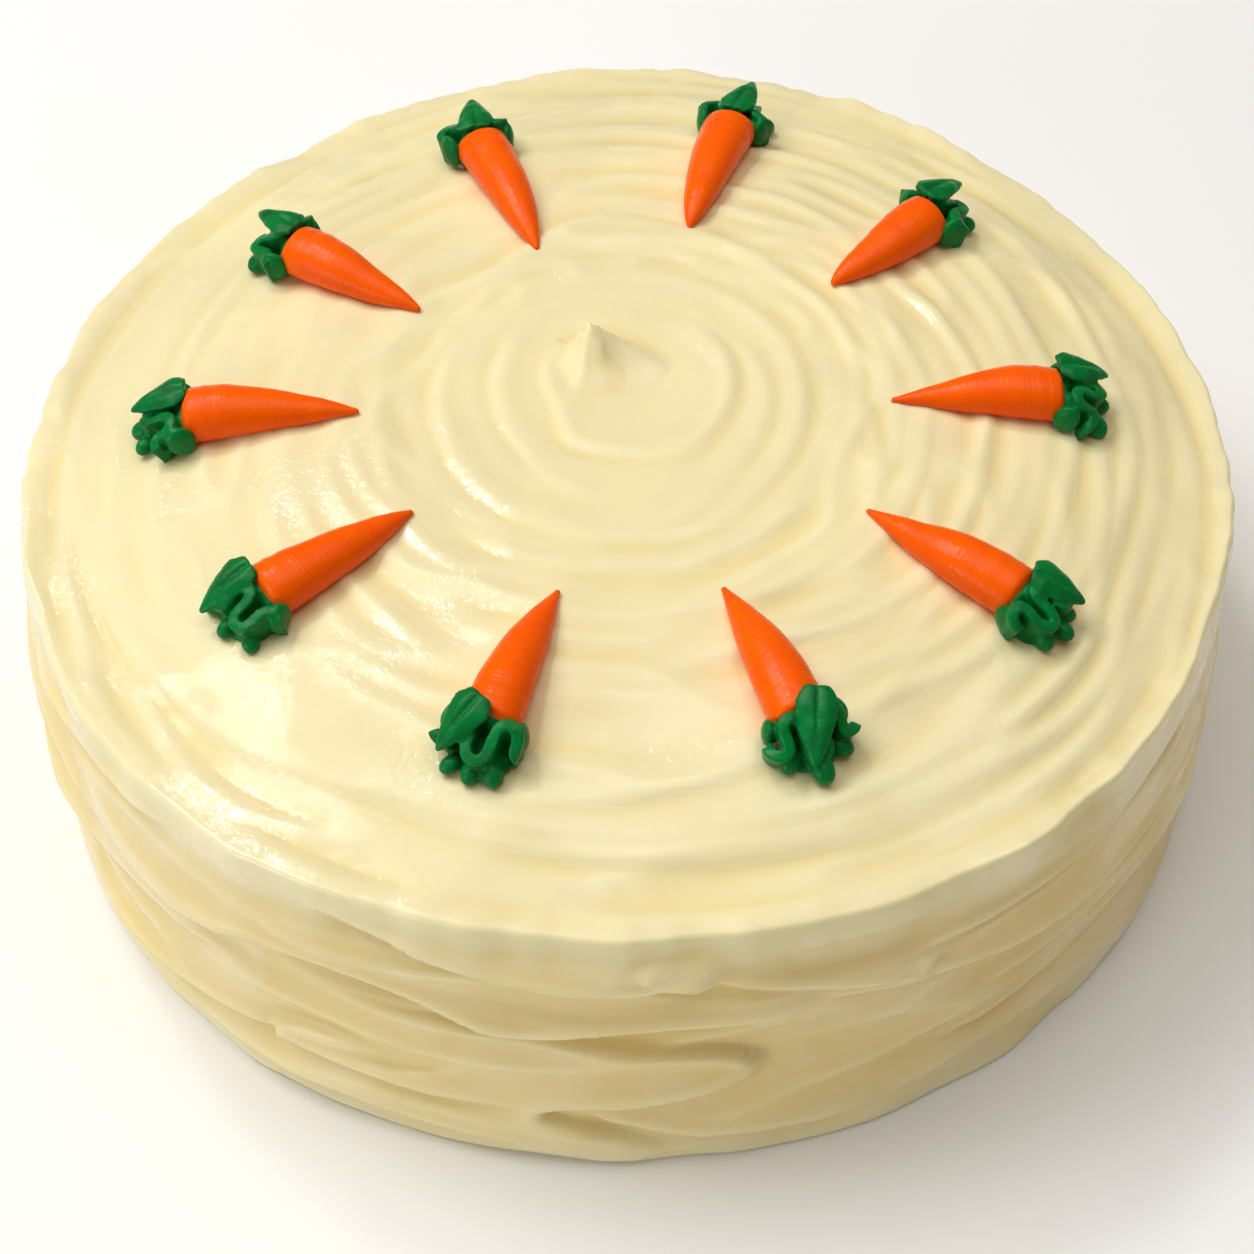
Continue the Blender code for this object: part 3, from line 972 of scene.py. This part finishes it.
def mixColour(nodes, links, factor, first, second, blend="MIX"):
    node = nodes.new("ShaderNodeMix")
    node.data_type = "RGBA"
    node.blend_type = blend
    for name, value in (("Factor_Float", factor), ("A_Color", first), ("B_Color", second)):
        socket = next(s for s in node.inputs if s.identifier == name)
        if isinstance(value, (int, float, tuple)):
            socket.default_value = value
        else:
            links.new(value, socket)
    return next(s for s in node.outputs if s.identifier == "Result_Color")


def rangeNode(nodes, links, value, low, high, newLow, newHigh):
    node = nodes.new("ShaderNodeMapRange")
    links.new(value, node.inputs["Value"])
    for name, number in (("From Min", low), ("From Max", high),
                         ("To Min", newLow), ("To Max", newHigh)):
        node.inputs[name].default_value = number
    return node.outputs["Result"]


def noiseNode(nodes, links, vector, scale, detail=3.0, roughness=0.5, distortion=0.0):
    node = nodes.new("ShaderNodeTexNoise")
    links.new(vector, node.inputs["Vector"])
    node.inputs["Scale"].default_value = scale
    node.inputs["Detail"].default_value = detail
    node.inputs["Roughness"].default_value = roughness
    node.inputs["Distortion"].default_value = distortion
    return node.outputs["Fac"]


def attributeNode(nodes, name):
    node = nodes.new("ShaderNodeAttribute")
    node.attribute_name = name
    return node.outputs["Fac"]


def setBody(shader, look):
    # the light that goes into the icing, and the share that its surface turns back
    shader.inputs["Subsurface Weight"].default_value = look["subsurface"]
    shader.inputs["Subsurface Radius"].default_value = look["subsurfaceRadius"]
    shader.inputs["Subsurface Scale"].default_value = look["subsurfaceScale"]
    shader.inputs["Specular IOR Level"].default_value = look["specular"]


def bumpNode(nodes, links, height, distance, strength=1.0):
    node = nodes.new("ShaderNodeBump")
    node.inputs["Distance"].default_value = distance
    node.inputs["Strength"].default_value = strength
    links.new(height, node.inputs["Height"])
    return node.outputs["Normal"]


cream = {
    "base": (0.868, 0.768, 0.440, 1),
    # painted shade: a deeper, darker yellow for the grooves of the top and the wall
    "hollow": (0.860, 0.680, 0.270, 1),
    # a paler cream: the icing's own paler patches at random, painted highlight on the crests and
    # painted bounce light at the foot
    "crest": (0.925, 0.825, 0.510, 1),
    # painted shade: the wall browner than the icing's own colour, for its shaded sides
    "wall": (0.850, 0.635, 0.232, 1),
    "patches": 38.0,
    # ranges: where a mask starts and is full, then how much it gives at each end
    "patchRange": (0.35, 0.7, 0, 0.35),
    # painted shade in the grooves
    "hollowShadeRange": (0.2, 1.0, 0, 0.5),
    # painted highlight on the crests
    "crestHighlightRange": (-0.15, -0.9, 0, 0.35),
    "wetRange": (0.44, 0.56, 0, 0.90),
    "wallFrom": 9 * mm,  # below the rim
    # painted shade on the wall
    "wallShadeShare": 0.7,
    # painted bounce light: the wall paler again towards its foot
    "footFrom": 14 * mm,
    "footTo": 1 * mm,
    "footBounceShare": 0.75,
    "subsurface": 0.25,
    "subsurfaceRadius": (1.0, 0.7, 0.35),
    "subsurfaceScale": 4 * mm,
    "roughness": 0.50,
    "specular": 0.32,
    "coatRoughness": 0.10,
    "middle": 4 * mm,
    "streakTurns": 0.026,
    "streaks": 520.0,
    "streakBump": 0.03 * mm,
    "wrinkles": 600.0,
    "wrinkleBump": 0.13 * mm,
}


def roundTheCake(nodes, links, parts):
    # a place for the streaks' noise that changes slowly round the cake and fast across it
    squares = [mathNode(nodes, links, "MULTIPLY", parts.outputs[axis], parts.outputs[axis])
               for axis in ("X", "Y")]
    radius = mathNode(nodes, links, "SQRT", mathNode(nodes, links, "ADD", *squares))
    radius = mathNode(nodes, links, "MAXIMUM", radius, cream["middle"])
    turned = nodes.new("ShaderNodeCombineXYZ")
    for axis in ("X", "Y"):
        share = mathNode(nodes, links, "DIVIDE", parts.outputs[axis], radius)
        share = mathNode(nodes, links, "MULTIPLY", share, cream["streakTurns"])
        links.new(share, turned.inputs[axis])
    links.new(attributeNode(nodes, "along"), turned.inputs["Z"])
    return turned.outputs[0]


def creamMaterial():
    material, nodes, links = newMaterial("creamIcing")
    shader = nodes["Principled BSDF"]
    place = nodes.new("ShaderNodeTexCoord").outputs["Object"]
    parts = nodes.new("ShaderNodeSeparateXYZ")
    links.new(place, parts.inputs[0])
    height, hollow = parts.outputs["Z"], attributeNode(nodes, "hollow")
    patches = noiseNode(nodes, links, place, cream["patches"], roughness=0.55, distortion=0.4)
    rim = cake["rimHeight"]
    colour = cream["base"]
    for share, other in (
        (rangeNode(nodes, links, patches, *cream["patchRange"]), "crest"),
        # painted shade: the wall browner from a little below the rim down
        (rangeNode(nodes, links, height, rim, rim - cream["wallFrom"], 0, cream["wallShadeShare"]),
         "wall"),
        # painted bounce light: paler towards the foot
        (rangeNode(nodes, links, height, cream["footFrom"], cream["footTo"],
                   0, cream["footBounceShare"]), "crest"),
        # painted shade: the grooves darker and deeper yellow
        (rangeNode(nodes, links, hollow, *cream["hollowShadeRange"]), "hollow"),
        # painted highlight: the raised crests paler
        (rangeNode(nodes, links, hollow, *cream["crestHighlightRange"]), "crest"),
    ):
        colour = mixColour(nodes, links, share, colour, cream[other])
    links.new(colour, shader.inputs["Base Color"])

    turned = roundTheCake(nodes, links, parts)
    streaks = noiseNode(nodes, links, turned, cream["streaks"], detail=2, roughness=0.4)
    wrinkles = noiseNode(nodes, links, place, cream["wrinkles"], roughness=0.6, distortion=1.2)
    wet = rangeNode(nodes, links, patches, *cream["wetRange"])
    links.new(wet, shader.inputs["Coat Weight"])
    links.new(bumpNode(nodes, links, wrinkles, cream["wrinkleBump"]), shader.inputs["Coat Normal"])
    links.new(bumpNode(nodes, links, streaks, cream["streakBump"]), shader.inputs["Normal"])
    shader.inputs["Coat Roughness"].default_value = cream["coatRoughness"]
    shader.inputs["Roughness"].default_value = cream["roughness"]
    setBody(shader, cream)
    return material


orange = {
    "base": (1.0, 0.122, 0.0, 1),
    "deep": (0.88, 0.070, 0.0, 1),
    "patches": 160.0,
    "patchRange": (0.42, 0.75, 0, 0.5),
    "roughRange": (0.3, 0.7, 0.20, 0.35),
    "subsurface": 0.10,
    "subsurfaceRadius": (1.0, 0.25, 0.05),
    "subsurfaceScale": 1.5 * mm,
    "specular": 0.15,
    "ripples": 1100.0,
    "specks": 1500.0,
    "speckShare": 0.5,
    "bump": 0.11 * mm,
}

greenLook = {
    "base": (0.000, 0.188, 0.036, 1),
    "deep": (0.000, 0.095, 0.014, 1),
    "patches": 220.0,
    "patchRange": (0.4, 0.7, 0, 0.7),
    "roughRange": (0.3, 0.7, 0.22, 0.40),
    "subsurface": 0.06,
    "subsurfaceRadius": (0.2, 1.0, 0.4),
    "subsurfaceScale": 1.0 * mm,
    "specular": 0.15,
    "specks": 1400.0,
    "bump": 0.07 * mm,
}


def pipedMaterial(name, look):
    # what both piped icings share: patches of a deeper colour and of a duller skin
    material, nodes, links = newMaterial(name)
    shader = nodes["Principled BSDF"]
    place = nodes.new("ShaderNodeTexCoord").outputs["Object"]
    patches = noiseNode(nodes, links, place, look["patches"])
    share = rangeNode(nodes, links, patches, *look["patchRange"])
    links.new(mixColour(nodes, links, share, look["base"], look["deep"]),
              shader.inputs["Base Color"])
    rough = rangeNode(nodes, links, patches, *look["roughRange"])
    links.new(rough, shader.inputs["Roughness"])
    setBody(shader, look)
    return material, place


def orangeMaterial():
    material, place = pipedMaterial("orangeIcing", orange)
    nodes, links = material.node_tree.nodes, material.node_tree.links
    along = nodes.new("ShaderNodeCombineXYZ")
    links.new(attributeNode(nodes, "along"), along.inputs["X"])
    wave = noiseNode(nodes, links, along.outputs[0], orange["ripples"], detail=2)
    specks = noiseNode(nodes, links, place, orange["specks"], detail=2)
    specks = mathNode(nodes, links, "MULTIPLY", specks, orange["speckShare"])
    height = mathNode(nodes, links, "ADD", wave, specks)
    links.new(bumpNode(nodes, links, height, orange["bump"]),
              nodes["Principled BSDF"].inputs["Normal"])
    return material


def greenMaterial():
    material, place = pipedMaterial("greenIcing", greenLook)
    nodes, links = material.node_tree.nodes, material.node_tree.links
    specks = noiseNode(nodes, links, place, greenLook["specks"], roughness=0.6)
    links.new(bumpNode(nodes, links, specks, greenLook["bump"]),
              nodes["Principled BSDF"].inputs["Normal"])
    return material


def finish(piece, material, node):
    piece.data.materials.clear()
    piece.data.materials.append(material)
    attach(piece, "root")
    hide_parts(node)


finish(icing, creamMaterial(), "frosted_cake")
orangeIcing, greenIcing = orangeMaterial(), greenMaterial()
for index in range(carrot["count"]):
    number = numbered(index)
    finish(carrots[index], orangeIcing, f"carrot_{number}")
    finish(greens[index], greenIcing, f"green_top_{number}")
print("finishes are on")


# the studio

studio = {
    "floorSize": 6.0,
    "floorColour": (0.93, 0.93, 0.93, 1),
    "floorRoughness": 0.9,
    "worldLight": 0.17,
    "worldColour": (1.0, 0.84, 0.62, 1),
    "lamps": {  # place, size in metres, power in watts and colour
        "key": ((-1.30, 0.40, 2.00), 1.2, 27.8, (1, 1, 1)),
        "glint": ((-0.50, 0.66, 1.40), 0.20, 4.2, (1, 1, 1)),
        "overhead": ((0.20, 0.10, 2.00), 1.6, 14.5, (1, 1, 1)),
        "leftFill": ((-0.92, -0.84, 0.32), 0.6, 4.2, (0.84, 0.92, 1.0)),
    },
    "aim": Vector((0, 0, 60)) * mm,
    "cameraPlace": Vector((0.0, -308.3, 384.5)) * mm,
    "cameraPitch": 50.61,
    "cameraRoll": 0.4,
    "lens": 66.03,
    "sensor": 36,
    "clipStart": 0.01,
}

deselectAll()
bpy.ops.mesh.primitive_plane_add(size=studio["floorSize"], location=(0, 0, 0))
floor = nameActive("floor")
floorMaterial, nodes, links = newMaterial("paleFloor")
nodes["Principled BSDF"].inputs["Base Color"].default_value = studio["floorColour"]
nodes["Principled BSDF"].inputs["Roughness"].default_value = studio["floorRoughness"]
floor.data.materials.append(floorMaterial)

world = bpy.data.worlds.new("studio")
bpy.context.scene.world = world
world.use_nodes = True
world.node_tree.nodes["Background"].inputs["Color"].default_value = studio["worldColour"]
world.node_tree.nodes["Background"].inputs["Strength"].default_value = studio["worldLight"]

for name, (place, size, power, colour) in studio["lamps"].items():
    bpy.ops.object.light_add(type="AREA", location=place)
    lamp = bpy.context.object
    lamp.name = name
    lamp.data.size = size
    lamp.data.energy = power
    lamp.data.color = colour
    aim = studio["aim"] - lamp.location
    lamp.rotation_euler = aim.to_track_quat("-Z", "Y").to_euler()

bpy.ops.object.camera_add()
camera = bpy.context.object
camera.data.lens = studio["lens"]
camera.data.sensor_width = studio["sensor"]
camera.data.clip_start = studio["clipStart"]
tilt = Matrix.Rotation(radians(90 - studio["cameraPitch"]), 4, "X")
roll = Matrix.Rotation(radians(studio["cameraRoll"]), 4, "Z")
camera.matrix_world = Matrix.Translation(studio["cameraPlace"]) @ tilt @ roll
bpy.context.scene.camera = camera
bpy.context.scene.view_settings.view_transform = "Standard"
print("the studio is set")
